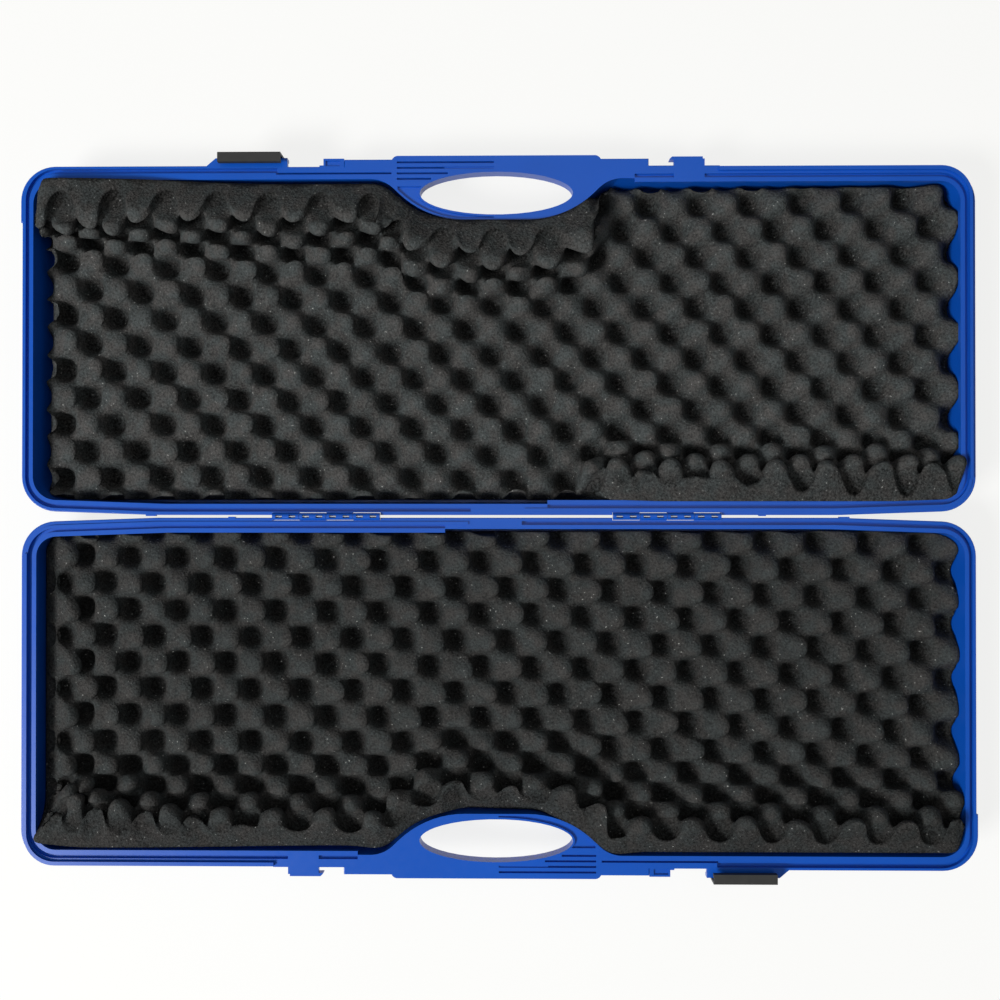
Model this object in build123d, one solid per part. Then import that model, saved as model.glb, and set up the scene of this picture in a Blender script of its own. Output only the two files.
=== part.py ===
from build123d import *
import math
import os

# A long protective hard case that lies open flat. The base half fills -Y and the lid half fills +Y.
# Both halves are the same moulding, and the lid is the base turned half round about the Z axis.
# +X is along the case, +Z is up, and the origin is on the floor under the middle of the hinge line.
# All sizes are in millimetres. "Out" is the distance from the hinge line, towards -Y on the base.

# Shell
case_length = 820.0
case_depth = 300.2
shell_height = 42.5
corner_radius = 30.0
wall = 2.6
wall_draft = 1.6
floor_fillet = 6.0
rim_depth = 8.0
rim_round = 0.8
least_corner = 3.0
hinge_gap = 1.2
end_relief = 4.0
end_relief_run = 115.0
rim_gap = 0.3

# Rim profile, counted inwards from the edge of the case
groove_start = 2.9
groove_width = 3.2
groove_depth = 4.0
inner_lip_width = 3.4
front_groove_shift = 3.0
front_groove_widening = 0.8
ledge_channel_width = 3.2
ledge_channel_depth = 3.0
ledge_width = 3.8
ledge_depth = 5.0
ledge_end_gap = 22.0
tongue_clearance = 0.35
tongue_end_gap = 2.0
tongue_height = 3.0
hinge_tongue_height = 1.2
tall_tongue_from = 32.0
plain_rim_half = 22.0
groove_stop = 189.0
slot_width = 1.7
slot_out = 294.8
middle_lip_overhang = 1.4
middle_lip_end = 192.0
front_lip_step = 1.0
corner_guard = 1.3
corner_guard_run = 46.0

# Handle
middle_flange_half = 131.0
middle_flange_step = 7.4
handle_half = 90.3
handle_step = 10.4
handle_corner = 5.5
handle_depth = 13.0
handle_round = 3.5
grip_width = 14.0
opening_half_length = 65.8
opening_half_width = 18.4
ring_wall = 4.6
ring_lip = 1.7
ring_channel_depth = 2.2
ring_channel_from = 2.0
ring_channel_margin = 12.0
ring_channel_past = 6.0
island_side = 31.2
island_slope_run = 37.0
island_flare = 28.0
island_round = 82.0
web_reach = 10.0
finger_slot_depth = 3.2
finger_slot_start = 85.6
finger_slot_lengths = (83.4, 41.0, 43.8, 29.4)
finger_slot_pitch = 4.75
shallow_slot_from = 2.2
shallow_slot_depth = 1.2

# Hinges
hinge_centre = 146.3
knuckle_length = 23.2
knuckle_count = 4
knuckle_radius = 3.0
knuckle_gap = 0.3
knuckle_web = 0.6
hinge_cut_room = 0.4
pin_diameter = 3.0
pin_clearance = 0.05
pin_end_wall = 1.4
pin_chamfer = 0.3
window_length = 5.7
window_width = 2.6
window_pitch = 11.5
hinge_tab_at = 293.7
hinge_tab_length = 8.6
hinge_tab_depth = 4.0
hinge_tab_set_back = 0.3
small_tab_at = -231.0
small_tab_length = 6.0

# Latches
slider_length = 53.8
slider_travel = 30.0
slider_at = 184.5
slider_clearance = 0.35
slider_wall = 2.2
head_thickness = 2.8
head_height = 7.4
neck_height = 4.6
lip_thickness = 2.9
slider_lip_gap = 0.5
rail_end = 180.2
stop_gap = 0.5
stop_land = 3.5
stop_length = 14.0
hook_length = 26.4
hook_neck_shift = 1.6
hook_nose = 2.2
hook_nose_land = 0.6
bracket_length = 17.8
bracket_proud = 8.2
bracket_foot = 3.5
bracket_room = 2.0
bracket_frame = 1.8
bracket_frame_depth = 1.6
slider_round = 1.2
slider_rib_depth = 0.5
slider_rib_count = 5
slider_rib_margin = 2.0
keeper_share = 0.42
keeper_thickness = 1.25

# Foam
foam_gap = 0.3
foam_side_gap = 5.4
foam_edge_gap = 0.6
foam_base = 7.6
foam_wave = 12.5
foam_pitch = 21.75
peak_radius = 10.7
dimple_radius = 9.6
bump_top_radius = 5.2
foam_phase_x = 8.0
foam_phase_out = 61.0
foam_rim = 0.5

# Flutes on the large faces
flute_count = 5
flute_pitch = 38.0
flute_width = 5.0
flute_depth = 0.8
flute_margin = 70.0

# Worked out from the sizes above
rim_z = shell_height
axis_z = rim_z + rim_gap / 2
rim_width = groove_start + groove_width + inner_lip_width
half_length = case_length / 2
big = case_length
outer_inset = rim_width - wall
tongue_start = groove_start + tongue_clearance
tongue_width = groove_width - 2 * tongue_clearance
ledge_start = tongue_start + tongue_width + ledge_channel_width
ledge_end = ledge_start + ledge_width
cavity_out = case_depth - rim_width
front_lip_overhang = middle_lip_overhang + front_lip_step
handle_out = case_depth + handle_step
opening_out = handle_out - grip_width - opening_half_width
island_base_half = opening_half_length + island_side
island_top_half = island_base_half - island_slope_run
island_out = opening_out - opening_half_width - ring_wall
hinge_half = knuckle_count * knuckle_length / 2
cut_out = knuckle_radius + hinge_cut_room
slider_inner = case_depth + front_lip_overhang + slider_lip_gap
head_inner = slider_inner + lip_thickness + slider_clearance
head_outer = head_inner + head_thickness
slider_outer = head_outer + slider_clearance + slider_wall
slider_half_height = head_height + slider_clearance + slider_wall
bracket_to = slider_at - slider_travel - bracket_room - bracket_foot
bracket_from = bracket_to - bracket_length
hook_from = bracket_to + bracket_room
hook_to = hook_from + hook_length
foam_bottom = wall + foam_gap
foam_middle = foam_bottom + foam_base + foam_wave


def block(x0, x1, out0, out1, z0, z1):
    """A box between two X places, two distances out from the hinge line and two heights."""
    centre = ((x0 + x1) / 2, -(out0 + out1) / 2, (z0 + z1) / 2)
    return Pos(*centre) * Box(abs(x1 - x0), abs(out1 - out0), abs(z1 - z0))


def prism(face, z0, z1):
    """A flat face raised from one height to another."""
    return Pos(0, 0, z0) * extrude(face, amount=z1 - z0, dir=(0, 0, 1))


def tray_plan(side, front=None, back=None):
    """The plan of the case, drawn in by an amount at its sides, front and hinge edge."""
    front = side if front is None else front
    back = side if back is None else back
    x = half_length - side
    run = x - end_relief_run
    y_front = -(case_depth - front)
    y_back = -(hinge_gap + back)
    points = [
        (-x, y_front),
        (x, y_front),
        (x, y_back - end_relief),
        (run, y_back),
        (-run, y_back),
        (-x, y_back - end_relief),
    ]
    face = make_face(Polyline(*points, close=True))
    corners = face.vertices().filter_by(lambda v: abs(v.X) > x - 1)
    return fillet(corners, max(corner_radius - side, least_corner))


def region(x0, x1, out0, out1):
    """A flat rectangle that picks out part of a plan."""
    return Pos((x0 + x1) / 2, -(out0 + out1) / 2) * Rectangle(x1 - x0, out1 - out0)


def island_plan(grow=0.0):
    """The plan of the bulge that carries the tray wall round the hand opening."""
    far = case_depth + 60
    wide = island_base_half + 60
    points = [
        (-wide, -far),
        (-wide, -cavity_out),
        (-island_base_half, -cavity_out),
        (-island_top_half, -island_out),
        (island_top_half, -island_out),
        (island_base_half, -cavity_out),
        (wide, -cavity_out),
        (wide, -far),
    ]
    face = make_face(Polyline(*points, close=True))
    inner = face.vertices().filter_by(lambda v: abs(v.Y + island_out) < 0.01)
    face = fillet(inner, island_round)
    outer = face.vertices().filter_by(lambda v: abs(abs(v.X) - island_base_half) < 0.01)
    face = fillet(outer, island_flare)
    return offset(face, amount=grow) if grow else face


def opening_plan(grow=0.0):
    """The hand opening, an ellipse."""
    return Pos(0, -opening_out) * Ellipse(opening_half_length + grow, opening_half_width + grow)


def handle_plan():
    """The grip outside the hand opening and the solid web beside it, up to the tray wall."""
    grip = region(-handle_half, handle_half, cavity_out - 2, handle_out)
    corners = grip.vertices().filter_by(lambda v: v.Y < -handle_out + 1)
    grip = fillet(corners, handle_corner)
    reach = island_base_half + web_reach
    near = region(-reach, reach, island_out - 1, cavity_out)
    return grip + (island_plan() & near)


def rim_plan():
    """The edge of the case seen from above, with the steps of its front."""
    plan = tray_plan(0)
    plan += region(-middle_flange_half, middle_flange_half, cavity_out, case_depth + middle_flange_step)
    plan += region(-middle_lip_end, slider_at, cavity_out, case_depth + middle_lip_overhang)
    lip_out = case_depth + front_lip_overhang
    right = half_length + corner_guard
    guard = region(slider_at, right, case_depth - corner_guard_run, lip_out)
    corner = guard.vertices().filter_by(lambda v: v.X > right - 1 and v.Y < -lip_out + 1)
    return plan + fillet(corner, corner_radius)


def tray():
    """The hollow body under the rim, with its wall carried round the hand opening."""
    low = tray_plan(outer_inset + wall_draft)
    high = Pos(0, 0, rim_z - 1) * tray_plan(outer_inset)
    outside = loft([low, high], ruled=True)
    outside = fillet(outside.edges().group_by(Axis.Z)[0], floor_fillet)
    inner_low = Pos(0, 0, wall) * tray_plan(rim_width + wall_draft)
    inner_high = Pos(0, 0, rim_z + 1) * tray_plan(rim_width)
    cavity = loft([inner_low, inner_high], ruled=True) - prism(island_plan(), 0, rim_z + 2)
    recess = prism(island_plan(-wall), -1, rim_z - handle_depth)
    return outside, cavity, recess


def rim():
    """The flange round the mouth, with a softened outer edge."""
    flange = prism(rim_plan(), rim_z - rim_depth, rim_z)
    top = flange.faces().sort_by(Axis.Z)[-1]
    return fillet(top.outer_wire().edges(), rim_round)


def handle():
    """The grip and its web, rounded where a hand holds it."""
    solid = prism(handle_plan(), rim_z - handle_depth, rim_z)
    low = solid.edges().group_by(Axis.Z)[0]
    front = low.filter_by(lambda e: e.center().Y < -handle_out + 1)
    return fillet(front, handle_round)


def groove_path(start, width):
    """A band that follows the rim of the groove half, set further out along the front."""
    shift = front_groove_shift
    outer = tray_plan(start, front=start - shift)
    end = start + width
    inner = tray_plan(end, front=end - shift + front_groove_widening)
    return outer - inner


def groove():
    """The groove of the +X half, its narrow slot beside the handle and the end at the hinge."""
    band = groove_path(groove_start, groove_width)
    keep = region(plain_rim_half, big, -5, case_depth / 2)
    keep += region(groove_stop, big, case_depth / 2 - 1, case_depth + 9)
    slot = region(handle_half, groove_stop + 1, slot_out, slot_out + slot_width)
    return prism((band & keep) + slot, rim_z - groove_depth, rim_z + 1)


def tongue():
    """The ridge of the -X half that enters the groove of the other shell."""
    band = groove_path(tongue_start, tongue_width)
    low_end = -plain_rim_half - tongue_end_gap
    high_end = -groove_stop - tongue_end_gap
    low = band & region(-big, low_end, -5, tall_tongue_from)
    high = band & region(-big, high_end, tall_tongue_from, case_depth + 9)
    parts = prism(low, rim_z - 1, rim_z + hinge_tongue_height)
    return parts + prism(high, rim_z - 1, rim_z + tongue_height)


def ledge():
    """The inner ledge of the -X half and the channel that parts it from the ridge."""
    hinge_end = -plain_rim_half - ledge_end_gap
    front_end = -island_base_half - ledge_end_gap
    keep = region(-big, hinge_end, -5, case_depth + 5)
    keep -= region(front_end, big, case_depth / 2, case_depth + 9)
    shelf = (tray_plan(rim_width - 1) - tray_plan(ledge_end)) & keep
    channel = tray_plan(ledge_start - ledge_channel_width) - tray_plan(ledge_start)
    channel = channel & keep
    solid = prism(shelf, rim_z - ledge_depth, rim_z)
    cut = prism(channel, rim_z - ledge_channel_depth, rim_z + 1)
    return solid, cut


def finger_slot(x0, x1, number, depth):
    """A slot along the grip. The slots are counted from its outer edge."""
    out = handle_out - (number + 1) * finger_slot_pitch
    return block(x0, x1, out - slot_width, out, rim_z - depth, rim_z + 1)


def finger_slots():
    """Moulded slots beside the hand opening, one with a shallow end that runs on."""
    x1 = finger_slot_start
    slots = []
    for number, length in enumerate(finger_slot_lengths):
        slots.append(finger_slot(x1 - length, x1, number, finger_slot_depth))
    end = x1 - finger_slot_lengths[1] + 1
    slots.append(finger_slot(shallow_slot_from, end, 1, shallow_slot_depth))
    return slots


def ring_channel():
    """The shallow channel between the ring of the opening and the lip of the tray wall."""
    between = island_plan(-ring_lip) - opening_plan(ring_lip)
    end = island_base_half - ring_channel_margin
    keep = region(ring_channel_from, end, island_out - 1, opening_out + ring_channel_past)
    return prism(between & keep, rim_z - ring_channel_depth, rim_z + 1)


def knuckle_places():
    """X places of all knuckles of both hinges, from left to right, with their number."""
    for centre in (-hinge_centre, hinge_centre):
        for number in range(knuckle_count):
            yield centre + (number - (knuckle_count - 1) / 2) * knuckle_length, number


def rod(x0, x1, radius):
    """A round bar on the hinge axis between two X places."""
    return Pos((x0 + x1) / 2, 0, axis_z) * Rot(0, 90, 0) * Cylinder(radius, x1 - x0)


def knuckle_windows(x):
    """Two slots in the top of a knuckle, through which the pin shows."""
    half = window_width / 2
    for side in (-0.5, 0.5):
        middle = x + side * window_pitch
        x0 = middle - window_length / 2
        x1 = middle + window_length / 2
        yield block(x0, x1, -half, half, axis_z, axis_z + knuckle_radius + 1)


def add_hinge(shell):
    """Cut both hinge places out of the rim and add the knuckles of this half."""
    for centre in (-hinge_centre, hinge_centre):
        x0 = centre - hinge_half - knuckle_gap
        x1 = centre + hinge_half + knuckle_gap
        shell -= block(x0, x1, -1, cut_out, rim_z - rim_depth - 1, rim_z + 1)
    own = [(x, number) for x, number in knuckle_places() if number % 2]
    half = (knuckle_length - knuckle_gap) / 2
    for x, number in own:
        shell += rod(x - half, x + half, knuckle_radius)
        shell += block(x - half, x + half, 0, cut_out + knuckle_web, axis_z - knuckle_radius, rim_z)
    bore = pin_diameter / 2 + pin_clearance
    for x, number in own:
        closed = number == knuckle_count - 1
        end = x + half - pin_end_wall if closed else x + half + 1
        shell -= rod(x - half - 1, end, bore)
        for window in knuckle_windows(x):
            shell -= window
    return shell


def hinge_tabs():
    """Two small stop tabs on the hinge edge."""
    z0 = rim_z - hinge_tab_depth
    tabs = []
    for x, length in ((hinge_tab_at, hinge_tab_length), (small_tab_at, small_tab_length)):
        tabs.append(block(x, x + length, hinge_tab_set_back, groove_start, z0, rim_z))
    return tabs


def latch_head(x0, x1, neck0, neck1):
    """A plate on a neck, which a slider wraps. It lies just under the parting plane."""
    top = rim_z
    plate = block(x0, x1, head_inner, head_outer, axis_z - head_height, top)
    neck = block(neck0, neck1, cavity_out, head_inner + 1, axis_z - neck_height, top)
    return plate + neck


def rail():
    """The rail that carries the slider, with the sloping stop at its outer end."""
    stop_x = slider_at + slider_length + stop_gap
    bar = latch_head(rail_end, stop_x + 1, rail_end, stop_x + 1)
    far = stop_x + stop_length
    flat = stop_x + stop_land
    points = [
        (stop_x, -cavity_out),
        (stop_x, -head_outer),
        (flat, -head_outer),
        (far, -case_depth),
        (far, -cavity_out),
    ]
    wedge = prism(make_face(Polyline(*points, close=True)), axis_z - head_height, rim_z)
    return bar + wedge


def hook():
    """The head on the -X side that the other half's slider closes over."""
    shift = hook_neck_shift
    head = latch_head(-hook_to, -hook_from, -hook_to - shift, -hook_from - shift)
    root_x = -hook_from - hook_nose_land
    tip_x = -hook_from + hook_nose
    points = [
        (root_x, -head_outer),
        (-hook_from, -head_outer),
        (tip_x, -head_inner - hook_nose_land),
        (tip_x, -head_inner),
        (root_x, -head_inner),
    ]
    nose = prism(make_face(Polyline(*points, close=True)), axis_z - head_height, rim_z)
    return head + nose


def bracket():
    """The block that stops the closed slider, on its foot, and the recess in its top."""
    out = case_depth + bracket_proud
    low = rim_z - rim_depth
    body = block(bracket_from, bracket_to, cavity_out, out, low, rim_z)
    foot_out = case_depth + front_lip_overhang
    body += block(bracket_from, bracket_to + bracket_foot, cavity_out, foot_out, low, rim_z)
    edge = bracket_frame
    x0 = bracket_from + 2 * edge
    floor = rim_z - bracket_frame_depth
    recess = block(x0, bracket_to - edge, case_depth + edge, out - edge, floor, rim_z + 1)
    return body, recess


def flutes():
    """Long shallow flutes on the large face."""
    cuts = []
    middle = case_depth / 2
    for number in range(flute_count):
        out = middle + (number - (flute_count - 1) / 2) * flute_pitch
        length = case_length - 2 * flute_margin
        slot = Pos(0, -out) * SlotOverall(length, flute_width)
        cuts.append(prism(slot, -1, flute_depth))
    return cuts


def make_shell():
    """One half of the case, as the base half lies."""
    outside, cavity, recess = tray()
    shelf, channel = ledge()
    stop, stop_recess = bracket()
    shell = outside + rim() + handle()
    shell -= recess
    shell = shell - cavity
    shell = shell + rail() + stop
    shell += shelf
    shell -= channel
    shell -= groove()
    shell += tongue()
    shell += hook()
    shell -= stop_recess
    shell -= prism(opening_plan(), -2, rim_z + 2)
    shell -= ring_channel()
    shell -= finger_slots()
    shell = add_hinge(shell)
    for tab in hinge_tabs():
        shell += tab
    shell -= flutes()
    return shell


def make_pin(centre):
    """A hinge pin, held between the closed ends of its outer knuckles."""
    half = hinge_half - pin_end_wall - knuckle_gap
    pin = rod(centre - half, centre + half, pin_diameter / 2)
    return chamfer(pin.edges().filter_by(GeomType.CIRCLE), pin_chamfer)


def keeper(x0):
    """The shelf inside the slider that keeps it on the rail while it is open."""
    start = x0 + slider_length * (1 - keeper_share)
    inner = head_inner - 2 * slider_clearance
    outer = head_outer + 2 * slider_clearance
    low = axis_z + slider_clearance
    return block(start, x0 + slider_length, inner, outer, low, low + keeper_thickness)


def make_slider():
    """The black slide of the base half: a channel that wraps the rail and later the hook."""
    x0 = slider_at
    x1 = slider_at + slider_length
    z0 = axis_z - slider_half_height
    z1 = axis_z + slider_half_height
    body = block(x0, x1, slider_inner, slider_outer, z0, z1)
    outer_edges = body.edges().filter_by(Axis.X).sort_by(Axis.Y)[:2]
    body = fillet(outer_edges, slider_round)
    gap = slider_clearance
    room = head_height + gap
    body -= block(x0 - 1, x1 + 1, head_inner - gap, head_outer + gap, axis_z - room, axis_z + room)
    throat = neck_height + gap
    body -= block(x0 - 1, x1 + 1, slider_inner - 1, head_inner, axis_z - throat, axis_z + throat)
    body += keeper(x0)
    pitch = 2 * slider_half_height / (slider_rib_count + 1)
    start = x0 + slider_rib_margin
    end = x1 - slider_rib_margin
    floor = slider_outer - slider_rib_depth
    for number in range(slider_rib_count):
        z = z0 + (number + 1) * pitch
        body -= block(start, end, floor, slider_outer + 1, z - pitch / 4, z + pitch / 4)
    return body


def foam_plan():
    """The foam sheet seen from above, cut round the hand opening."""
    side = rim_width + wall_draft + foam_side_gap
    close = rim_width + wall_draft + foam_edge_gap
    return tray_plan(side, front=close, back=close) - island_plan(foam_edge_gap)


def bump(radius):
    """A cone that stands on its base circle, with a round top that its side runs into."""
    middle = foam_wave - bump_top_radius
    reach = math.hypot(radius, middle)
    run = math.sqrt(reach**2 - bump_top_radius**2)
    angle = math.atan2(middle, -radius) - math.asin(bump_top_radius / reach)
    touch = (radius + run * math.cos(angle), run * math.sin(angle))
    side = Line((radius, 0), touch)
    cap = RadiusArc(touch, (0, foam_wave), -bump_top_radius)
    axis = Line((0, foam_wave), (0, 0))
    foot = Line((0, 0), (radius, 0))
    return revolve(Plane.XZ * make_face([foot, side, cap, axis]), Axis.Z)


def inside_foam(x, out, margin):
    """Whether a circle of that radius lies on the sheet, clear of its edges."""
    side = rim_width + wall_draft + foam_side_gap
    close = rim_width + wall_draft + foam_edge_gap
    if abs(x) > half_length - side - margin:
        return False
    if out < hinge_gap + close + end_relief + margin:
        return False
    slope = (cavity_out - island_out) / (island_base_half - island_top_half)
    beside = (abs(x) - island_top_half) * slope
    front = island_out + min(max(beside, 0), cavity_out - island_out)
    lean = math.hypot(1, slope) if 0 < beside < cavity_out - island_out + 2 * margin else 1
    limit = min(case_depth - close - margin, front - foam_edge_gap - margin * lean)
    return out < limit


def foam_places(phase):
    """Centres of the peaks or of the dimples, on every second place of a square lattice."""
    columns = math.ceil(half_length / foam_pitch)
    rows = math.ceil(case_depth / foam_pitch)
    first = -math.floor(foam_phase_out / foam_pitch)
    for row in range(first, rows):
        for column in range(-columns, columns + 1):
            if (row + column + phase) % 2 == 0:
                yield foam_phase_x + column * foam_pitch, foam_phase_out + row * foam_pitch


def make_foam(phase):
    """Convoluted foam: a sheet with rounded peaks, and dimples between them."""
    sheet = prism(foam_plan(), foam_bottom, foam_middle)
    peak = bump(peak_radius)
    dimple = Rot(180, 0, 0) * bump(dimple_radius)
    peaks = []
    for x, out in foam_places(phase):
        if inside_foam(x, out, peak_radius + foam_rim):
            peaks.append(Pos(x, -out, foam_middle) * peak)
    dimples = []
    for x, out in foam_places(phase + 1):
        if inside_foam(x, out, dimple_radius + foam_rim):
            dimples.append(Pos(x, -out, foam_middle) * dimple)
    return sheet + peaks - dimples


def write(name, shape):
    """Write one piece to its own file."""
    solids = shape.solids()
    kept = solids[0] if len(solids) == 1 else Compound(children=list(solids))
    export_step(kept, os.path.join("parts", name + ".step"))
    print(name, len(solids), round(shape.volume / 1000, 1), "cm3")


def main():
    os.makedirs("parts", exist_ok=True)
    turned = Rot(0, 0, 180)
    shell = make_shell()
    write("base_shell", shell)
    write("lid_shell", turned * shell)
    slider = make_slider()
    write("base_latch_slider", slider)
    write("lid_latch_slider", turned * slider)
    write("left_hinge_pin", make_pin(-hinge_centre))
    write("right_hinge_pin", make_pin(hinge_centre))
    write("base_foam", make_foam(0))
    write("lid_foam", turned * make_foam(1))


main()
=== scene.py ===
import math
from collections import namedtuple

import bpy
import numpy as np
from mathutils import Euler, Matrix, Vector


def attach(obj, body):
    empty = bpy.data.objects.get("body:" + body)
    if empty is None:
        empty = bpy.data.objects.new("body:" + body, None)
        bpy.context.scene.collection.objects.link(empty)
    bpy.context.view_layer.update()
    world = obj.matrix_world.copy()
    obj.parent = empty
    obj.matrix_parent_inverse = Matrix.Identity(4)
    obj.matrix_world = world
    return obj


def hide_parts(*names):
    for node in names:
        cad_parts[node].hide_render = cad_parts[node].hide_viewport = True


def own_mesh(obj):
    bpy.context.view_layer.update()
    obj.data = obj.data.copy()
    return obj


# The looks of a long hard case that lies open: blue moulded halves, black slides, steel pins
# and two sheets of charcoal convoluted foam. Lengths are in metres.

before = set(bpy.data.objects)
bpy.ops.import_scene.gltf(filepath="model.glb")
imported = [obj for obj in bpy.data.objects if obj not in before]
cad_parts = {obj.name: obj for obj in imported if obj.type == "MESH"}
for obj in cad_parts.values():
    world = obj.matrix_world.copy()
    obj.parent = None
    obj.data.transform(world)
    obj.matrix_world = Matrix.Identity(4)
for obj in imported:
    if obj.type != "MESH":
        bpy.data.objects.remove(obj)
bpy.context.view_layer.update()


# Node trees

class Term:
    """A value in a node tree. Arithmetic on it adds Math nodes."""

    def __init__(self, tree, socket):
        self.tree = tree
        self.socket = socket

    def output(self, name):
        """Another output of the same node."""
        return Term(self.tree, self.socket.node.outputs[name])

    def math(self, operation, *others):
        node = self.tree.nodes.new("ShaderNodeMath")
        node.operation = operation
        for slot, value in zip(node.inputs, (self, *others)):
            connect(self.tree, slot, value)
        return Term(self.tree, node.outputs[0])

    def __add__(self, other):
        return self.math("ADD", other)

    __radd__ = __add__

    def __mul__(self, other):
        return self.math("MULTIPLY", other)

    __rmul__ = __mul__

    def __sub__(self, other):
        return self.math("SUBTRACT", other)

    def __rsub__(self, other):
        return (self * -1.0) + other

    def __truediv__(self, other):
        return self.math("DIVIDE", other)

    def __rtruediv__(self, other):
        return self.math("POWER", -1.0) * other

    def cos(self):
        return self.math("COSINE")

    def tanh(self):
        return self.math("TANH")

    def clamp(self):
        """The value held between 0 and 1."""
        return self.math("MAXIMUM", 0.0).math("MINIMUM", 1.0)

    def above(self, start, steepness):
        """0 up to a start, then rising at a steepness until it is 1."""
        return ((self - start) * steepness).clamp()

    def between(self, low, high):
        """A value that runs from low to high as this one runs from 0 to 1."""
        return self * (high - low) + low


def connect(tree, slot, value):
    """Links a term to a socket, or sets the socket's own value."""
    if isinstance(value, Term):
        tree.links.new(value.socket, slot)
    else:
        slot.default_value = value


class Nodes:
    """Adds nodes to one tree."""

    def __init__(self, tree):
        self.tree = tree

    def make(self, kind, settings=None, inputs=None, output=0):
        """One node: its settings first, then its sockets. Sockets go by name or number."""
        node = self.tree.nodes.new(kind)
        for name, value in (settings or {}).items():
            setattr(node, name, value)
        for name, value in (inputs or {}).items():
            connect(self.tree, node.inputs[name], value)
        return Term(self.tree, node.outputs[output]) if node.outputs else None

    def object_place(self, scale=1.0):
        """The place on the object, times a scale."""
        place = self.make("ShaderNodeTexCoord", output="Object")
        return self.make("ShaderNodeMapping", inputs={"Vector": place, "Scale": (scale,) * 3})

    def noise(self, place, size, detail, roughness=0.55):
        """Noise whose features are about one size."""
        inputs = {"Vector": place, "Scale": 1.0 / size, "Detail": detail, "Roughness": roughness}
        return self.make("ShaderNodeTexNoise", {"noise_dimensions": "3D"}, inputs)

    def mix(self, share, first, second):
        """A colour between two colours."""
        inputs = {0: share, 6: first, 7: second}
        return self.make("ShaderNodeMix", {"data_type": "RGBA"}, inputs, output=2)

    def bump(self, height, strength, distance):
        inputs = {"Height": height, "Strength": strength, "Distance": distance}
        return self.make("ShaderNodeBump", inputs=inputs)

    def principled(self, inputs):
        return self.make("ShaderNodeBsdfPrincipled", inputs=inputs)

    def finish(self, shader):
        self.make("ShaderNodeOutputMaterial", inputs={"Surface": shader})


def new_material(name):
    """An empty material with its nodes helper."""
    material = bpy.data.materials.new(name)
    material.use_nodes = True
    material.node_tree.nodes.clear()
    return material, Nodes(material.node_tree)


def opaque(colour, tone=1.0):
    """A colour times a tone, with its alpha."""
    return (*(part * tone for part in colour), 1.0)


# Materials

def blue_plastic():
    """Injection-moulded royal blue plastic with a satin skin and faint handling marks."""
    material, nodes = new_material("blue_moulded_plastic")
    place = nodes.object_place()
    cloud = nodes.noise(place, size=0.09, detail=2.0)
    skin = nodes.noise(place, size=0.0009, detail=2.0)
    marks = nodes.noise(place, size=0.006, detail=6.0, roughness=0.7)
    deep = opaque((0.0026, 0.074, 0.43))
    light = opaque((0.0040, 0.094, 0.54))
    inputs = {
        "Base Color": nodes.mix(cloud, deep, light),
        "Roughness": marks.between(0.25, 0.41),
        "Normal": nodes.bump(skin, strength=0.06, distance=0.0004),
        "IOR": 1.5,
        "Specular IOR Level": 0.36,
        "Coat Weight": 0.05,
        "Coat Roughness": 0.12,
    }
    nodes.finish(nodes.principled(inputs))
    return material


def black_plastic():
    """Matt black plastic of the slides, dusty in places."""
    material, nodes = new_material("black_slide_plastic")
    place = nodes.object_place()
    grain = nodes.noise(place, size=0.0007, detail=3.0)
    dust = nodes.noise(place, size=0.008, detail=4.0)
    clean = opaque((0.017, 0.017, 0.016))
    dusty = opaque((0.034, 0.034, 0.032))
    inputs = {
        "Base Color": nodes.mix(dust, clean, dusty),
        "Roughness": dust.between(0.5, 0.7),
        "Normal": nodes.bump(grain, strength=0.25, distance=0.0003),
    }
    nodes.finish(nodes.principled(inputs))
    return material


def steel():
    """Drawn steel of the hinge pins."""
    material, nodes = new_material("drawn_steel")
    streak = nodes.noise(nodes.object_place(), size=0.0015, detail=4.0)
    dull = opaque((0.50, 0.50, 0.50))
    bright = opaque((0.72, 0.72, 0.71))
    inputs = {
        "Base Color": nodes.mix(streak, dull, bright),
        "Metallic": 1.0,
        "Roughness": streak.between(0.22, 0.42),
    }
    nodes.finish(nodes.principled(inputs))
    return material


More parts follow.
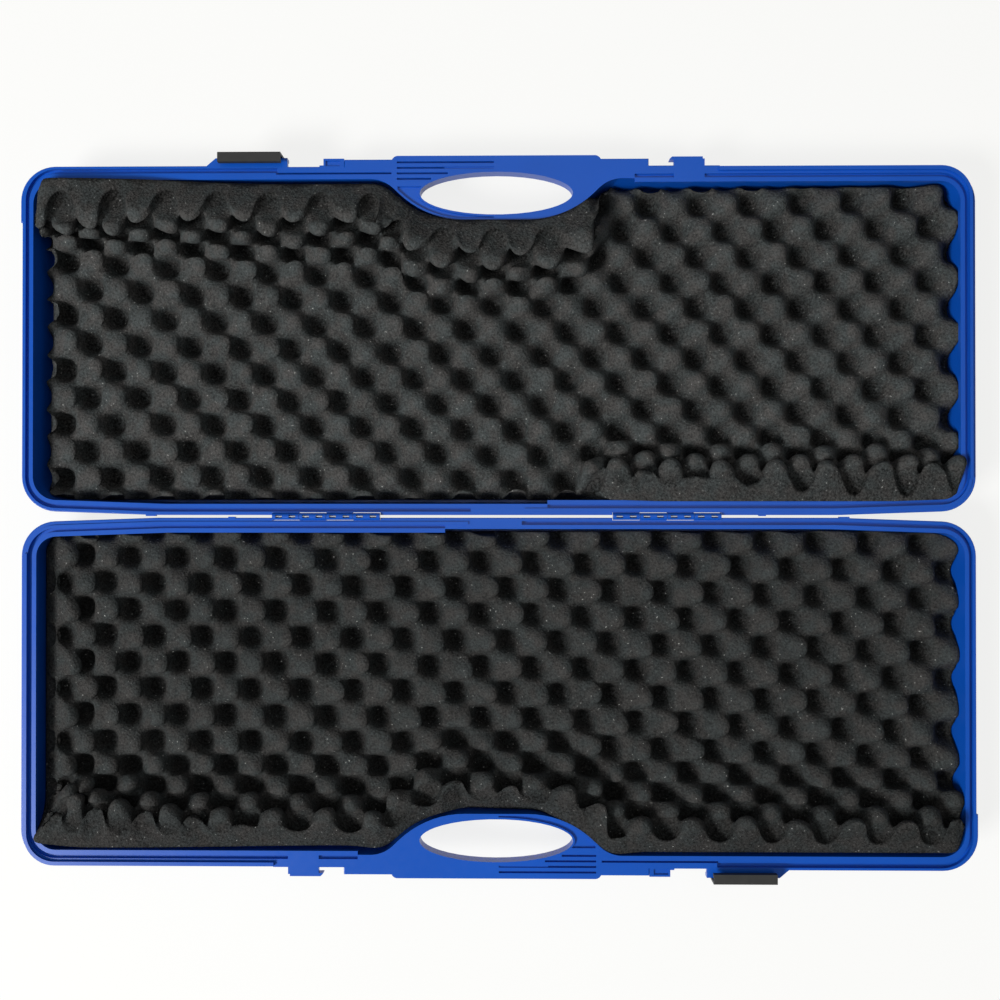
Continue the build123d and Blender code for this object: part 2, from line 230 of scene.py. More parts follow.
def charcoal_foam(name, tone):
    """Open-cell foam: dark, with fine cells and a few bright cell walls. Its peaks are paler and
    its hollows darker by painted shade that follows the height share.
    """
    material, nodes = new_material(name)
    cell_size = 0.0019
    grain_size = 0.0021
    patch_size = 0.035
    tint_size = 0.022
    tint_spread = 1.7
    place = nodes.object_place()
    height = nodes.make("ShaderNodeAttribute", {"attribute_name": "height_share"}, output="Fac")
    cells = nodes.make("ShaderNodeTexVoronoi", inputs={"Vector": place, "Scale": 1.0 / cell_size})
    grain = nodes.noise(place, grain_size, detail=5.0, roughness=0.75)
    patch = nodes.noise(place, patch_size, detail=3.0)
    tint = nodes.noise(nodes.object_place(tint_spread), tint_size, detail=1.0)
    fleck = nodes.noise(place, grain_size, detail=1.0)

    # The darkest colour: dark cells, and painted shade deep in the hollows
    dark_cells_and_painted_shade = opaque((0.0045, 0.0045, 0.0042))
    warm = opaque((0.095, 0.092, 0.088), tone)
    cool = opaque((0.083, 0.093, 0.092), tone)
    bright = opaque((0.34, 0.34, 0.32))
    grain_weight = 2.6
    patch_weight = 0.45
    # The height share paints shade: paler on the peaks, darker down into the hollows
    painted_shade_weight = 0.62
    darkening = 1.36
    paleness_and_painted_shade = grain * grain_weight + patch * patch_weight + height * painted_shade_weight - darkening
    pale = nodes.mix(tint.above(start=0.36, steepness=3.5), warm, cool)
    colour = nodes.mix(paleness_and_painted_shade.clamp(), dark_cells_and_painted_shade, pale)
    colour = nodes.mix(fleck.above(start=0.75, steepness=22.0), colour, bright)

    grain_relief = 0.8
    cell_relief = 0.6
    relief = grain * grain_relief + cells * cell_relief
    inputs = {
        "Base Color": colour,
        "Roughness": 0.92,
        "Normal": nodes.bump(relief, strength=0.8, distance=0.0012),
        "Specular IOR Level": 0.15,
    }
    nodes.finish(nodes.principled(inputs))
    return material


def pale_floor():
    """A pale floor that shows near white and still takes the shadow of the case."""
    material, nodes = new_material("pale_floor")
    cloud = nodes.noise(nodes.object_place(), size=0.35, detail=3.0)
    dim = opaque((0.86, 0.85, 0.81))
    bright = opaque((0.93, 0.925, 0.90))
    colour = nodes.mix(cloud, dim, bright)
    ray = nodes.make("ShaderNodeLightPath", output="Is Camera Ray")
    seen = (ray + ray.output("Is Glossy Ray") + ray.output("Is Transmission Ray")).clamp()
    diffuse = nodes.principled({"Base Color": colour, "Roughness": 0.75})
    white = {"Color": opaque((1.0, 1.0, 0.985)), "Strength": 1.0}
    glow = nodes.make("ShaderNodeEmission", inputs=white)
    glow_share = 0.82
    inputs = {0: seen * glow_share, 1: diffuse, 2: glow}
    nodes.finish(nodes.make("ShaderNodeMixShader", inputs=inputs))
    return material


# The tray that holds the foam. "Out" is the distance from the hinge line.

HALF_LENGTH = 0.410
DEPTH = 0.3002
HINGE_GAP = 0.0012
RIM_WIDTH = 0.0095
TRAY_FLOOR = 0.0029
WALL_HEIGHT = 0.0427
WALL_DRAFT = 0.0016
INNER_CORNER = 0.0205
CLEARANCE = 0.0004

# The hinge wall slants away from the hinge line over this run at each end
END_RELIEF = 0.0040
END_RELIEF_RUN = 0.1150

# The walls halfway up
HALF_DRAFT = WALL_DRAFT / 2
SIDE_WALL = HALF_LENGTH - RIM_WIDTH - HALF_DRAFT
HINGE_WALL = HINGE_GAP + RIM_WIDTH + HALF_DRAFT
FRONT_WALL = DEPTH - RIM_WIDTH - HALF_DRAFT

# The bulge of the front wall round the hand opening, from its flat top to the flare at its foot.
# BULGE_ROUND and BULGE_FLARE are radii, and the other lengths run along X from the middle.
BULGE_OUT = 0.2552
BULGE_FLAT = 0.027
BULGE_ROUND = 0.082
BULGE_ROUND_END = 0.0838
BULGE_FLARE_START = 0.0889
BULGE_FLARE = 0.028
BULGE_FOOT = 0.10825


def smooth(value):
    """A soft step from 0 to 1."""
    share = np.clip(value, 0.0, 1.0)
    return share * share * (3.0 - 2.0 * share)


def ramp(value, start, end):
    """A soft step from 0 at the start to 1 at the end."""
    return smooth((value - start) / (end - start))


def circle(radius, offset):
    """Half the height of a circle at an offset from its middle."""
    return np.sqrt(np.maximum(radius**2 - offset**2, 0.0))


def front_wall(x):
    """Distance out of the tray's front wall, which bulges in round the hand opening."""

    def shoulder(side):
        return BULGE_OUT + BULGE_ROUND - circle(BULGE_ROUND, side - BULGE_FLAT)

    def flare(side):
        return FRONT_WALL - BULGE_FLARE + circle(BULGE_FLARE, BULGE_FOOT - side)

    side = np.abs(x)
    start = shoulder(BULGE_ROUND_END)
    end = flare(BULGE_FLARE_START)
    share = (side - BULGE_ROUND_END) / (BULGE_FLARE_START - BULGE_ROUND_END)
    out = np.where(side < BULGE_FLAT, BULGE_OUT, shoulder(side))
    out = np.where(side > BULGE_ROUND_END, start + (end - start) * share, out)
    out = np.where(side > BULGE_FLARE_START, flare(side), out)
    return np.where(side > BULGE_FOOT, FRONT_WALL, out)


def hold_inside(points):
    """Keeps points off the tray's walls, whose corners are round and whose sides draw in to the
    floor."""
    drawn = WALL_DRAFT * (1 - np.clip(points[:, 2] / WALL_HEIGHT, 0, 1)) + CLEARANCE
    radius = INNER_CORNER - drawn
    half = SIDE_WALL + HALF_DRAFT - drawn
    slant = np.clip((np.abs(points[:, 0]) - half + END_RELIEF_RUN) / END_RELIEF_RUN, 0, 1)
    low = HINGE_WALL - HALF_DRAFT + drawn + END_RELIEF * slant
    high = front_wall(points[:, 0]) + HALF_DRAFT - drawn
    side = np.minimum(np.abs(points[:, 0]), half)
    out = np.clip(points[:, 1], low, high)
    past_side = np.maximum(side - (half - radius), 0)
    past_out = np.maximum(out - (high - radius), 0) - np.maximum(low + radius - out, 0)
    least = 1e-9
    kept = np.minimum(1, radius / np.maximum(np.hypot(past_side, past_out), least))
    points[:, 0] = np.copysign(side - past_side * (1 - kept), points[:, 0])
    points[:, 1] = out - past_out * (1 - kept)
    return points


# The two sheets of foam

PITCH = 0.0222
SHEET_BASE = 0.0085
WAVE_SIZES = {
    "Pitch": PITCH,
    "Base": SHEET_BASE,
    "Wave": 0.0225,
    "Steepness": 3.4,
    "Fullness": 0.42,
    "Pinch": 0.50,
    "Dome": 0.6,
}

# Half pitches from the middle of a sheet to its end and to its edge
COLUMNS = 18.0
ROWS = 6.0

# The grid that the sheet is made on, finer on its wavy side than on its back
GRID_STEP = 0.0019
GRID_DEPTH = 0.30
COARSE = 4
CUT_LEVELS = 6
CUT_CORNER = 0.014

# How pale the painted shade leaves the cut faces and the back, as a height share where 1 is the top of
# a peak
CUT_SHADE = 0.55
BACK_SHADE = 0.4

# A bent stretch swells by only this share at a cut edge, and wholly past this run from it
CUT_SWELL = 0.35
CUT_RUN = 0.016

# Only what is thinner than this many times its base thins where it bends
THIN_BELOW = 1.6

# How far in from a left edge that is pressed flatter the press starts to fade, and where it ends
PRESS_RUN = (0.001, 0.014)

# How far the peaks stay stiff, and how much they differ in lean and in height
STIFFNESS = 1.6
WOBBLE = 0.08
HEIGHT_SPREAD = 0.035

# What turns a lattice place's two numbers, a seed and a number into a random value
MIXING = (12.9898, 78.233, 37.719, 4.581)
SCATTER = 43758.5453

# A slow drift sideways, as a share of the height, made of a few waves of different lengths
DRIFT = 0.04
DRIFT_WAVES = 5
SHORTEST_DRIFT = 0.045
DRIFT_STEP = 0.021

# The wall turns the edges that stand against its bulge by a share of its own slope
SIDEWAYS = 0.35

# The highest peaks give way softly near this height
TALLEST = 0.0575
TOP_SOFTNESS = 0.006


class Bend:
    """How an edge that is too long for the tray stands up against the wall.

    For a distance along the sheet from its cut edge, and an amount from 0 to 1, it gives how far
    that place is from the wall, how high, and how steep."""

    samples = 160
    amounts = 33

    def __init__(self, length, degrees, power):
        self.length = length
        self.steepest = math.radians(degrees)
        self.power = power
        along = np.linspace(0.0, length, self.samples)
        step = along[1]
        self.away = np.zeros((self.amounts, self.samples))
        self.rise = np.zeros((self.amounts, self.samples))
        for row, amount in enumerate(np.linspace(0.0, 1.0, self.amounts)):
            angle = self.angle(along, amount)
            across = np.cos(angle)
            up = np.sin(angle)
            self.away[row, 1:] = np.cumsum((across[1:] + across[:-1]) / 2) * step
            climbed = np.concatenate([[0.0], np.cumsum((up[1:] + up[:-1]) / 2) * step])
            self.rise[row] = climbed[-1] - climbed
        self.extra = length - self.away[:, -1]

    def angle(self, along, amount):
        """How steep the sheet is, from its steepest at the cut edge to flat."""
        left = np.clip(1.0 - along / self.length, 0.0, 1.0)
        return self.steepest * amount * left**self.power

    def read(self, table, along, amount):
        """A table's value at a distance and an amount, from the four nearest entries."""
        row = np.clip(amount, 0, 1) * (self.amounts - 1)
        column = np.clip(along / self.length, 0, 1) * (self.samples - 1)
        low_row = np.minimum(row.astype(int), self.amounts - 2)
        low_column = np.minimum(column.astype(int), self.samples - 2)
        up = row - low_row
        right = column - low_column
        low = table[low_row, low_column] * (1 - right) + table[low_row, low_column + 1] * right
        high = table[low_row + 1, low_column] * (1 - right)
        high = high + table[low_row + 1, low_column + 1] * right
        return low * (1 - up) + high * up

    def extra_length(self, amount=1.0):
        """How much longer the bent edge is than the room that it takes up."""
        return np.interp(amount, np.linspace(0.0, 1.0, self.amounts), self.extra)

    def place(self, along, amount=1.0):
        """Distance from the wall, height and steepness."""
        past = np.maximum(along - self.length, 0.0)
        away = self.read(self.away, along, amount) + past
        return away, self.read(self.rise, along, amount), self.angle(along, amount)


FLAT_EDGE = Bend(length=0.040, degrees=0, power=1.0)


class Sheet:
    """What both sheets share. Along X, a bend is how much of its own Bend an edge takes, from 0 to
    1, a gap is how far an edge stays off its wall, a swell is how much thicker a bent stretch gets,
    and a lean is how far the peaks lean. The lattice of peaks is spread, turned and bowed a little,
    and a push moves it where the edges crowd it."""

    left = FLAT_EDGE
    hinge = FLAT_EDGE
    left_press = 0.0
    hinge_swell = 0.0
    thinning = 0.0

    def hinge_bend(self, x):
        return 0.0

    def to_plan(self, i, j):
        """Where a place of the lattice lies, as X and distance out."""
        along = i / COLUMNS
        across = j / ROWS
        push_x, push_out = self.push(along, across)
        x = self.middle_x + self.half_length * along + push_x
        out = self.middle_out + (self.half_depth + self.spread * along**2) * across
        out = out + self.turn * along + self.bow * along**2 + push_out
        return x, out


class LidSheet(Sheet):
    """The lid's foam: its front edge stands up to the left of the hand opening and round it, and
    its hinge edge to the right."""

    name = "lid_foam_sheet"
    body = "lid"
    node = "lid_foam"
    side = 1.0
    seed = 11
    front = Bend(length=0.088, degrees=77, power=1.0)
    hinge = Bend(length=0.075, degrees=80, power=1.1)
    left_gap = 0.0045
    right_gap = 0.0020
    hinge_swell = 0.20
    thinning = 0.9
    lean_out = 0.04
    middle_x = -0.0035
    middle_out = 0.1420
    half_length = 0.4003
    half_depth = 0.1312
    spread = 0.0139
    turn = -0.0100
    bow = 0.0020

    def front_swell(self, x):
        return 0.68

    def front_bend(self, x):
        """Steepest at the left end, and flat past the hand opening."""
        left_end = ramp(-x, 0.24, 0.38)
        past_opening = ramp(x, 0.076, 0.094)
        return (0.78 + 0.22 * left_end) * (1.0 - past_opening)

    def hinge_bend(self, x):
        """Flat on the left, and wholly bent right of the hand opening."""
        return ramp(x, 0.060, 0.110)

    def front_gap(self, x):
        """Wider on both sides of the hand opening, but not towards the left end."""
        left_of_opening = ramp(x, -0.32, -0.18) * ramp(-x, 0.03, 0.09)
        right_of_opening = ramp(x, 0.09, 0.12)
        return 0.0005 + 0.0035 * left_of_opening + 0.0030 * right_of_opening

    def hinge_gap(self, x):
        """Narrower where the edge stands up."""
        standing = ramp(x, 0.08, 0.15)
        return 0.0030 - 0.0015 * standing

    def lean(self, x):
        """More towards the left end."""
        leftward = ramp(-x, -0.05, 0.30)
        return 0.06 + 0.12 * leftward

    def push(self, along, across):
        """The peaks near the standing front edge are pushed right and in."""
        near_front = ramp(across, 0.55, 1.10) * ramp(-along, 0.0, 0.2)
        leftward = ramp(-along, 0.1, 0.7)
        push_x = 0.0028 * across + 0.0045 * near_front + 0.0032 * leftward
        push_out = -0.0140 * along**2 * near_front
        return push_x, push_out


class BaseSheet(Sheet):
    """The base's foam: its whole front edge and its left edge stand up."""

    name = "base_foam_sheet"
    body = "base"
    node = "base_foam"
    side = -1.0
    seed = 23
    front = Bend(length=0.105, degrees=82, power=1.5)
    left = Bend(length=0.055, degrees=40, power=1.2)
    left_press = 0.5
    left_gap = 0.0012
    right_gap = 0.0015
    lean_out = 0.06
    middle_x = -0.0120
    middle_out = 0.1306
    half_length = 0.4032
    half_depth = 0.1370
    spread = 0.0028
    turn = 0.0073
    bow = 0.0034

    def front_swell(self, x):
        """Most at the left end."""
        left_end = ramp(-x, 0.27, 0.37)
        return 0.10 + 0.45 * left_end

    def front_bend(self, x):
        """Steepest at the left end, and least steep at the hand opening's middle."""
        past_left_end = ramp(x, -0.33, -0.13)
        at_opening = ramp(x, -0.050, -0.020) * ramp(-x, -0.060, -0.030)
        return (1.0 - 0.2 * past_left_end) * (1.0 - 0.32 * at_opening)

    def front_gap(self, x):
        """Widest in the left corner, narrower on the right and round the hand opening."""
        rightward = ramp(x, -0.12, 0.12)
        left_corner = ramp(-x, 0.35, 0.40)
        round_opening = ramp(x, -0.13, -0.085) * ramp(-x, -0.13, -0.085)
        return 0.0085 - 0.0045 * rightward + 0.0035 * left_corner - 0.0035 * round_opening

    def hinge_gap(self, x):
        return 0.0020

    def lean(self, x):
        """Most in the middle, and least at the right end."""
        leftward = ramp(-x, 0.10, 0.34)
        rightward = ramp(x, 0.10, 0.34)
        return 0.24 - 0.06 * leftward - 0.10 * rightward

    def push(self, along, across):
        """The peaks at the left end are pushed right."""
        push_x = 0.0065 * ramp(-along, 0.45, 0.90)
        return push_x, 0.0


def to_lattice(sheet, x, out):
    """The lattice place that lies at X and a distance out, by a few corrections."""
    corrections = 8
    first_middle = 0.137
    row_stretch = 1.03
    i = x / PITCH
    j = (out - first_middle) / PITCH
    for _ in range(corrections):
        x_now, out_now = sheet.to_plan(i, j)
        i = i + (x - x_now) / PITCH
        j = j + (out - out_now) / (row_stretch * PITCH)
    return i, j


def left_cut(sheet):
    """X of the sheet's left cut edge before the edge is bent."""
    return -SIDE_WALL + sheet.left_gap - sheet.left.extra_length()


def right_cut(sheet):
    """X of the sheet's right cut edge, which lies flat."""
    return SIDE_WALL - sheet.right_gap


def bend_left(sheet, x):
    """X once the left edge is bent, how high the sheet is there and how steep. A place past a cut
    edge counts as on it."""
    from_left = x - left_cut(sheet)
    away, rise, angle = sheet.left.place(from_left)
    plan_x = np.where(from_left < sheet.left.length, -SIDE_WALL + sheet.left_gap + away, x)
    return np.minimum(plan_x, right_cut(sheet)), rise, angle


def unit(vectors):
    return vectors / np.linalg.norm(vectors, axis=1)[:, None]


Laid = namedtuple("Laid", "point normal along_x along_out front_angle hinge_angle from_cut")


def lay(sheet, x, out):
    """How the back of the sheet lies at places given as they are before the sheet is bent: where,
    which way it faces and runs, how steep it is and how far from a cut edge."""
    plan_x, left_rise, left_angle = bend_left(sheet, x)
    front = front_wall(plan_x) - sheet.front_gap(plan_x)
    back = HINGE_WALL + sheet.hinge_gap(plan_x)
    front_amount = sheet.front_bend(plan_x)
    hinge_amount = sheet.hinge_bend(plan_x)
    from_front = front + sheet.front.extra_length(front_amount) - out
    from_hinge = out - (back - sheet.hinge.extra_length(hinge_amount))
    front_away, front_rise, front_angle = sheet.front.place(from_front, front_amount)
    hinge_away, hinge_rise, hinge_angle = sheet.hinge.place(from_hinge, hinge_amount)
    plan_out = np.where(from_front < sheet.front.length, front - front_away, out)
    plan_out = np.where(from_hinge < sheet.hinge.length, back + hinge_away, plan_out)

    sharpness = 4.0
    rises = (left_rise, front_rise, hinge_rise)
    rise = sum(np.maximum(one, 0.0) ** sharpness for one in rises) ** (1 / sharpness)
    point = np.stack([plan_x, plan_out, TRAY_FLOOR + rise], 1)

    step = 0.002
    wall_slope = SIDEWAYS * (front_wall(plan_x + step) - front_wall(plan_x - step)) / (2 * step)
    turned = np.sqrt(1 + wall_slope**2)
    lean_x = np.sin(left_angle) + np.sin(front_angle) * wall_slope / turned
    lean_out = np.sin(hinge_angle) - np.sin(front_angle) / turned
    least_upward = 0.015
    upward = np.sqrt(np.maximum(1 - lean_x**2 - lean_out**2, least_upward))
    normal = unit(np.stack([lean_x, lean_out, upward], 1))
    along_x = np.stack([np.cos(left_angle), 0 * x, -np.sin(left_angle)], 1)
    turn = front_angle - hinge_angle
    along_out = np.stack([0 * x, np.cos(turn), np.sin(turn)], 1)
    from_cut = np.minimum(from_front, from_hinge)
    return Laid(point, normal, along_x, along_out, front_angle, hinge_angle, from_cut)


def random_of(i, j, seed, number):
    """A repeatable random value from -1 to 1 for each place of the lattice."""
    mixed = sum(weight * part for weight, part in zip(MIXING, (i, j, seed, number)))
    value = np.sin(mixed) * SCATTER
    return 2 * (value - np.floor(value)) - 1


def drift(x, out, seed):
    """A slow waviness of the sheet, so that nothing lines up too well."""
    seed_turn = 1.7
    wave_turn = 2.1
    phase = 3
    total = 0 * x
    for number in range(DRIFT_WAVES):
        turn = seed * seed_turn + number * wave_turn
        length = SHORTEST_DRIFT + DRIFT_STEP * number
        run = x * math.cos(turn) + out * math.sin(turn)
        total = total + np.sin(run * 2 * math.pi / length + turn * phase)
    return total / DRIFT_WAVES


def swelled(sheet, x, thickness, laid):
    """The thickness once bends have opened the wave, thinned its hollows and pressed the left
    edge."""
    front_bent = np.sin(laid.front_angle)
    hinge_bent = np.sin(laid.hinge_angle)
    swell = sheet.front_swell(x) * front_bent + sheet.hinge_swell * hinge_bent
    off_cut = CUT_SWELL + (1 - CUT_SWELL) * ramp(laid.from_cut, 0.0, CUT_RUN)
    thinned = sheet.thinning * hinge_bent * np.clip(THIN_BELOW - thickness / SHEET_BASE, 0, 1)
    pressed = sheet.left_press * (1 - ramp(x - left_cut(sheet), *PRESS_RUN))
    return thickness * (1 + swell * off_cut) * (1 - thinned) * (1 - pressed)


def stiff_peaks(sheet, x, out, height):
    """Where the same points lie if their nearest peak keeps its shape, and how much it does."""
    i, j = to_lattice(sheet, x, out)
    near_i = np.round(i)
    near_j = np.round(j)
    is_peak = (near_i + near_j) % 2 == 1
    crest = np.cos(np.pi * (i - near_i)) * np.cos(np.pi * (j - near_j))
    peak_x, peak_out = sheet.to_plan(near_i, near_j)
    foot = lay(sheet, peak_x, peak_out)
    flatness = 1 - np.sin(np.maximum(foot.front_angle, foot.hinge_angle))
    lean_x = WOBBLE * random_of(near_i, near_j, sheet.seed, number=1) + sheet.lean(peak_x) * flatness
    lean_out = WOBBLE * random_of(near_i, near_j, sheet.seed, number=2) + sheet.lean_out * flatness
    up = unit(foot.normal + np.stack([lean_x, lean_out, 0 * x], 1))
    taller = 1 + HEIGHT_SPREAD * random_of(near_i, near_j, sheet.seed, number=3)
    aside = foot.along_x * (x - peak_x)[:, None]
    outward = foot.along_out * (out - peak_out)[:, None]
    stiff = foot.point + aside + outward + up * (height * taller)[:, None]
    return stiff, smooth(crest * STIFFNESS) * is_peak


def form(sheet, x, out, thickness, level=1.0):
    """Places points of the sheet in the tray. Peaks keep their shape where the sheet bends, less
    so at a lower level of the sheet."""
    laid = lay(sheet, x, out)
    height = swelled(sheet, x, thickness, laid)
    bent = laid.point + laid.normal * height[:, None]
    stiff, share = stiff_peaks(sheet, x, out, height)
    placed = bent + (stiff - bent) * (share * level)[:, None]
    outward_seed = sheet.seed + 3
    placed[:, 0] += DRIFT * height * drift(x, out, sheet.seed)
    placed[:, 1] += DRIFT * height * drift(out, x, outward_seed)
    over = np.maximum(placed[:, 2] - TALLEST, 0.0)
    placed[:, 2] -= over**2 / (over + TOP_SOFTNESS)
    return hold_inside(placed)


def sheet_grid(sheet):
    """Places of the unbent sheet on a grid, row by row, and the numbers of rows and columns. The
    grid fits the cut outline with its round corners."""
    left = left_cut(sheet)
    right = right_cut(sheet)
    columns = COARSE * round((right - left) / GRID_STEP / COARSE)
    rows = COARSE * round(GRID_DEPTH / GRID_STEP / COARSE)
    x = np.linspace(left, right, columns + 1)
    plan_x, _, _ = bend_left(sheet, x)
    into_corner = np.maximum(CUT_CORNER - np.minimum(x - left, right - x), 0.0)
    inset = CUT_CORNER - circle(CUT_CORNER, into_corner)
    low = HINGE_WALL + sheet.hinge_gap(plan_x) + inset
    low = low - sheet.hinge.extra_length(sheet.hinge_bend(plan_x))
    high = front_wall(plan_x) - sheet.front_gap(plan_x) - inset
    high = high + sheet.front.extra_length(sheet.front_bend(plan_x))
    share = np.linspace(0.0, 1.0, rows + 1)[:, None]
    out = low * (1 - share) + high * share
    return np.tile(x, rows + 1), out.ravel(), rows, columns


def add_object(name, data):
    """A new object that holds the data, in the scene."""
    holder = bpy.data.objects.new(name, data)
    bpy.context.scene.collection.objects.link(holder)
    return holder


def store_on_points(mesh, name, values):
    attribute = mesh.attributes.new(name, "FLOAT", "POINT")
    attribute.data.foreach_set("value", values.astype(np.float32))


def convoluted_wave():
    """A node tree that raises a flat sheet into rows of peaks and hollows."""
    tree = bpy.data.node_groups.new("convoluted_wave", "GeometryNodeTree")
    face = tree.interface
    face.new_socket("Sheet", in_out="INPUT", socket_type="NodeSocketGeometry")
    for name in WAVE_SIZES:
        face.new_socket(name, in_out="INPUT", socket_type="NodeSocketFloat")
    face.new_socket("Finish", in_out="INPUT", socket_type="NodeSocketMaterial")
    face.new_socket("Sheet", in_out="OUTPUT", socket_type="NodeSocketGeometry")

    nodes = Nodes(tree)
    flat = nodes.make("NodeGroupInput", output="Sheet")
    pitch = flat.output("Pitch")
    steepness = flat.output("Steepness")
    across = nodes.make("ShaderNodeSeparateXYZ", inputs={0: nodes.make("GeometryNodeInputPosition")})
    turn_x = across / pitch * math.pi
    turn_y = across.output("Y") / pitch * math.pi
    wave = turn_x.cos() * turn_y.cos() * -1.0

    bent = nodes.make("GeometryNodeInputNamedAttribute", {"data_type": "FLOAT"}, {"Name": "bend_share"})
    fullness = flat.output("Fullness") - bent * flat.output("Pinch")
    top = ((fullness + 1.0) * steepness).tanh()
    bottom = ((fullness - 1.0) * steepness).tanh()
    well = (((wave + fullness) * steepness).tanh() - bottom) / (top - bottom)
    dome = (wave + 1.0) * 0.5
    share = well + (dome - well) * flat.output("Dome")
    thickness = flat.output("Base") + flat.output("Wave") * share

    rise = nodes.make("ShaderNodeCombineXYZ", inputs={"Z": thickness})
    raised = nodes.make("GeometryNodeSetPosition", inputs={"Geometry": flat, "Offset": rise})
    settings = {"data_type": "FLOAT", "domain": "POINT"}
    inputs = {"Geometry": raised, "Name": "height_share", "Value": share}
    named = nodes.make("GeometryNodeStoreNamedAttribute", settings, inputs)
    real = nodes.make("GeometryNodeRealizeInstances", inputs={"Geometry": named})
    inputs = {"Geometry": real, "Material": flat.output("Finish")}
    finished = nodes.make("GeometryNodeSetMaterial", inputs=inputs)
    nodes.make("NodeGroupOutput", inputs={"Sheet": finished})
    return tree


def wave_heights(tree, sheet, x, out, finish):
    """Runs the wave over the flat sheet and reads back its thickness and its height share."""
    i, j = to_lattice(sheet, x, out)
    laid = lay(sheet, x, out)
    mesh = bpy.data.meshes.new("flat_sheet")
    mesh.from_pydata(np.stack([i * PITCH, j * PITCH, 0 * i], 1).tolist(), [], [])
    store_on_points(mesh, "bend_share", np.sin(np.maximum(laid.front_angle, laid.hinge_angle)))
    flat = add_object("flat_sheet", mesh)
    modifier = flat.modifiers.new("wave", "NODES")
    modifier.node_group = tree
    values = {**WAVE_SIZES, "Finish": finish}
    for item in tree.interface.items_tree:
        if item.name in values:
            modifier[item.identifier] = values[item.name]
    graph = bpy.context.evaluated_depsgraph_get()
    raised = bpy.data.meshes.new_from_object(flat.evaluated_get(graph))
    places = np.zeros((len(raised.vertices), 3), np.float32)
    raised.vertices.foreach_get("co", places.ravel())
    share = np.zeros(len(raised.vertices), np.float32)
    raised.attributes["height_share"].data.foreach_get("value", share)
    bpy.data.objects.remove(flat)
    return places[:, 2].astype(float), share.astype(float)


def outline_numbers(rows, columns):
    """Grid numbers round the outline, anticlockwise, each once."""
    grid = np.arange((rows + 1) * (columns + 1)).reshape(rows + 1, columns + 1)
    return np.concatenate([grid[0, :-1], grid[:-1, -1], grid[-1, :0:-1], grid[:0:-1, 0]])


def grid_faces(rows, columns):
    """A face for each cell of the grid, row by row."""
    wide = columns + 1
    corners = [r * wide + c for r in range(rows) for c in range(columns)]
    return [(k, k + 1, k + wide + 1, k + wide) for k in corners]


def band_faces(upper, lower):
    """Faces between two closed loops of as many points."""
    corners = (upper, lower, np.roll(lower, -1), np.roll(upper, -1))
    return list(zip(*(loop.tolist() for loop in corners)))


def coarse_back(rows, columns):
    """Faces of the back on a coarser grid, and which of its points each grid number is. Cells on
    the outline keep its fine points."""
    wide = columns + 1
    faces = []
    used = {}

    def number(r, c):
        return used.setdefault(r * wide + c, len(used))

    for r in range(0, rows, COARSE):
        for c in range(0, columns, COARSE):
            high = r + COARSE
            right = c + COARSE
            low_step = 1 if r == 0 else COARSE
            right_step = 1 if right == columns else COARSE
            high_step = 1 if high == rows else COARSE
            left_step = 1 if c == 0 else COARSE
            loop = [number(r, k) for k in range(c, right, low_step)]
            loop += [number(k, right) for k in range(r, high, right_step)]
            loop += [number(high, k) for k in range(right, c, -high_step)]
            loop += [number(k, c) for k in range(high, r, -left_step)]
            faces.append(loop[::-1])
    return faces, used


def closed_sheet(sheet, tree, finish):
    """Points, faces and shades of the whole sheet: wavy top, cut faces round it and a flat back."""
    x, out, rows, columns = sheet_grid(sheet)
    thickness, share = wave_heights(tree, sheet, x, out, finish)
    points = [form(sheet, x, out, thickness)]
    shades = [share]
    faces = grid_faces(rows, columns)

    outline = outline_numbers(rows, columns)
    loops = [outline]
    count = len(x)
    for number in range(CUT_LEVELS - 1, 0, -1):
        level = number / CUT_LEVELS
        cut_thickness = thickness[outline] * level
        points.append(form(sheet, x[outline], out[outline], cut_thickness, smooth(level)))
        shades.append(np.full(len(outline), CUT_SHADE))
        loops.append(np.arange(count, count + len(outline)))
        count += len(outline)

    back_faces, used = coarse_back(rows, columns)
    back = np.array(list(used))
    points.append(form(sheet, x[back], out[back], np.zeros(len(back)), level=0.0))
    shades.append(np.full(len(back), BACK_SHADE))
    loops.append(np.array([count + used[k] for k in outline]))
    for upper, lower in zip(loops[:-1], loops[1:]):
        faces += band_faces(upper, lower)
    faces += [[count + k for k in loop] for loop in back_faces]
    return np.concatenate(points), faces, np.concatenate(shades)


def build_foam(sheet, tree, finish):
    """One sheet of foam as a piece that rides on its half of the case."""
    points, faces, shades = closed_sheet(sheet, tree, finish)
    points[:, 1] *= sheet.side
    if sheet.side < 0:
        faces = [tuple(reversed(face)) for face in faces]
    mesh = bpy.data.meshes.new(sheet.name)
    mesh.from_pydata(points.tolist(), [], faces)
    # The foam's colour reads these shades as painted shade: paler peaks, darker hollows
    store_on_points(mesh, "height_share", shades)
    mesh.materials.append(finish)
    mesh.shade_smooth()
    mesh.update()
    foam = add_object(sheet.name, mesh)
    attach(foam, sheet.body)
    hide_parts(sheet.node)
    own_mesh(foam)


# Scene

# The camera: its place, its tilt in degrees, its sensor in millimetres, and its focal length in
# widths of the sensor
CAMERA_PLACE = (0.01491, 0.00907, 0.9725)
CAMERA_TILT = (0.3100, 0.7193, 0.0)
SENSOR_WIDTH = 36.0
FOCAL_WIDTHS = 1.08275

FLOOR_REACH = 30.0
FLOOR_HEIGHT = -0.0003


def dress_nodes(finishes):
    """Gives each shown CAD node its finish."""
    for name, material in finishes.items():
        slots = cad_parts[name].data.materials
        slots.clear()
        slots.append(material)


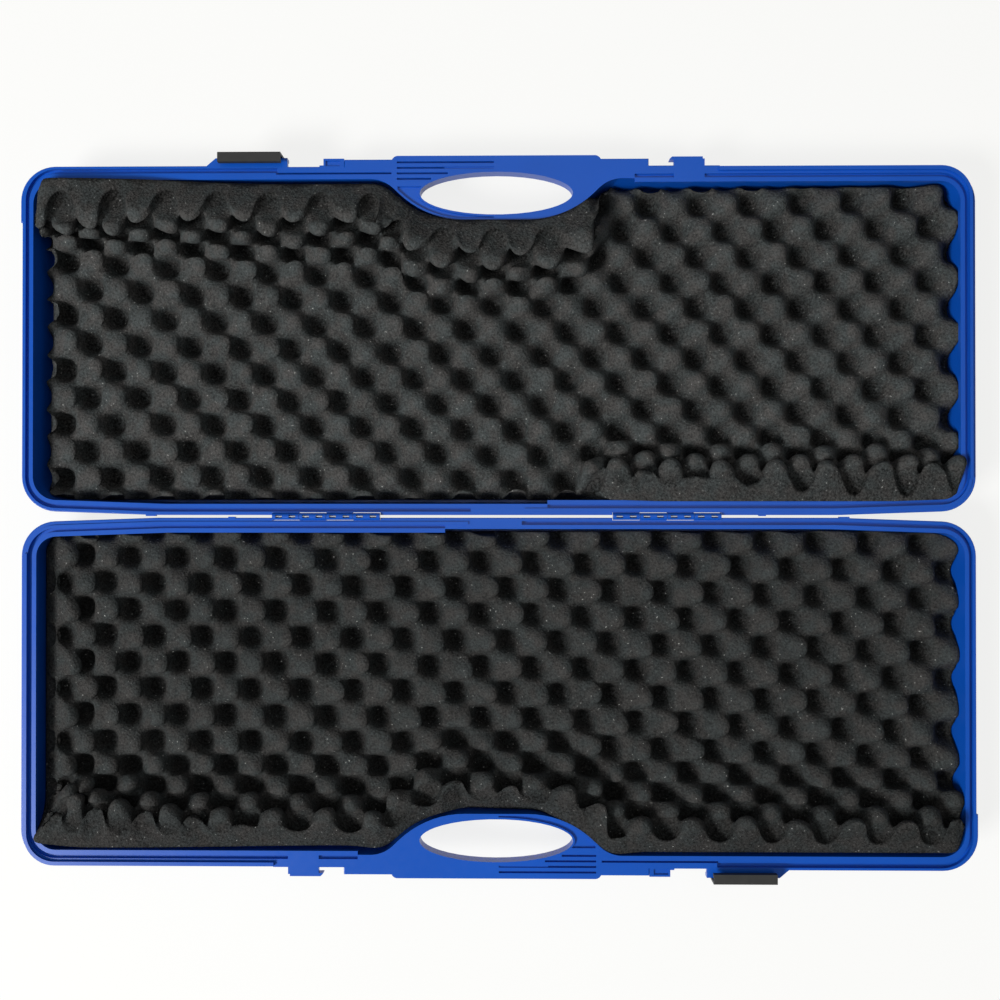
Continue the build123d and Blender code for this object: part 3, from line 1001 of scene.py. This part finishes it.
def add_floor(material):
    """A wide floor just under the case."""
    signs = ((-1, -1), (1, -1), (1, 1), (-1, 1))
    corners = [(x * FLOOR_REACH, y * FLOOR_REACH, FLOOR_HEIGHT) for x, y in signs]
    mesh = bpy.data.meshes.new("floor")
    mesh.from_pydata(corners, [], [(0, 1, 2, 3)])
    mesh.materials.append(material)
    add_object("floor", mesh)


def add_lamp(name, place, size, power):
    """A soft rectangular lamp that points at the middle of the case."""
    lamp = bpy.data.lights.new(name, "AREA")
    lamp.shape = "RECTANGLE"
    lamp.size, lamp.size_y = size
    lamp.energy = power
    holder = add_object(name, lamp)
    holder.location = place
    holder.rotation_euler = (-Vector(place)).to_track_quat("-Z", "Y").to_euler()


def add_world():
    """A faint even light from all round."""
    world = bpy.data.worlds.new("studio")
    world.use_nodes = True
    world.node_tree.nodes.clear()
    nodes = Nodes(world.node_tree)
    inputs = {"Color": opaque((0.96, 0.98, 1.0)), "Strength": 0.18}
    shade = nodes.make("ShaderNodeBackground", inputs=inputs)
    nodes.make("ShaderNodeOutputWorld", inputs={"Surface": shade})
    bpy.context.scene.world = world


def add_camera():
    """Straight above the open case, turned a little, as in the photograph."""
    camera = bpy.data.cameras.new("camera")
    camera.sensor_width = SENSOR_WIDTH
    camera.lens = SENSOR_WIDTH * FOCAL_WIDTHS
    camera.clip_start = 0.01
    holder = add_object("camera", camera)
    holder.location = CAMERA_PLACE
    holder.rotation_euler = Euler([math.radians(angle) for angle in CAMERA_TILT])
    bpy.context.scene.camera = holder


blue = blue_plastic()
black = black_plastic()
pin_steel = steel()
dress_nodes(
    {
        "base_shell": blue,
        "lid_shell": blue,
        "base_latch_slider": black,
        "lid_latch_slider": black,
        "left_hinge_pin": pin_steel,
        "right_hinge_pin": pin_steel,
    }
)
wave_tree = convoluted_wave()
build_foam(LidSheet(), wave_tree, charcoal_foam("charcoal_foam_lid", tone=0.90))
build_foam(BaseSheet(), wave_tree, charcoal_foam("charcoal_foam_base", tone=0.62))

add_floor(pale_floor())
add_world()
add_lamp("key", place=(-2.6, -1.7, 2.9), size=(1.5, 1.25), power=175)
add_lamp("ceiling", place=(0.2, 0.3, 2.4), size=(2.0, 1.6), power=9)
add_camera()
bpy.context.scene.view_settings.view_transform = "Standard"
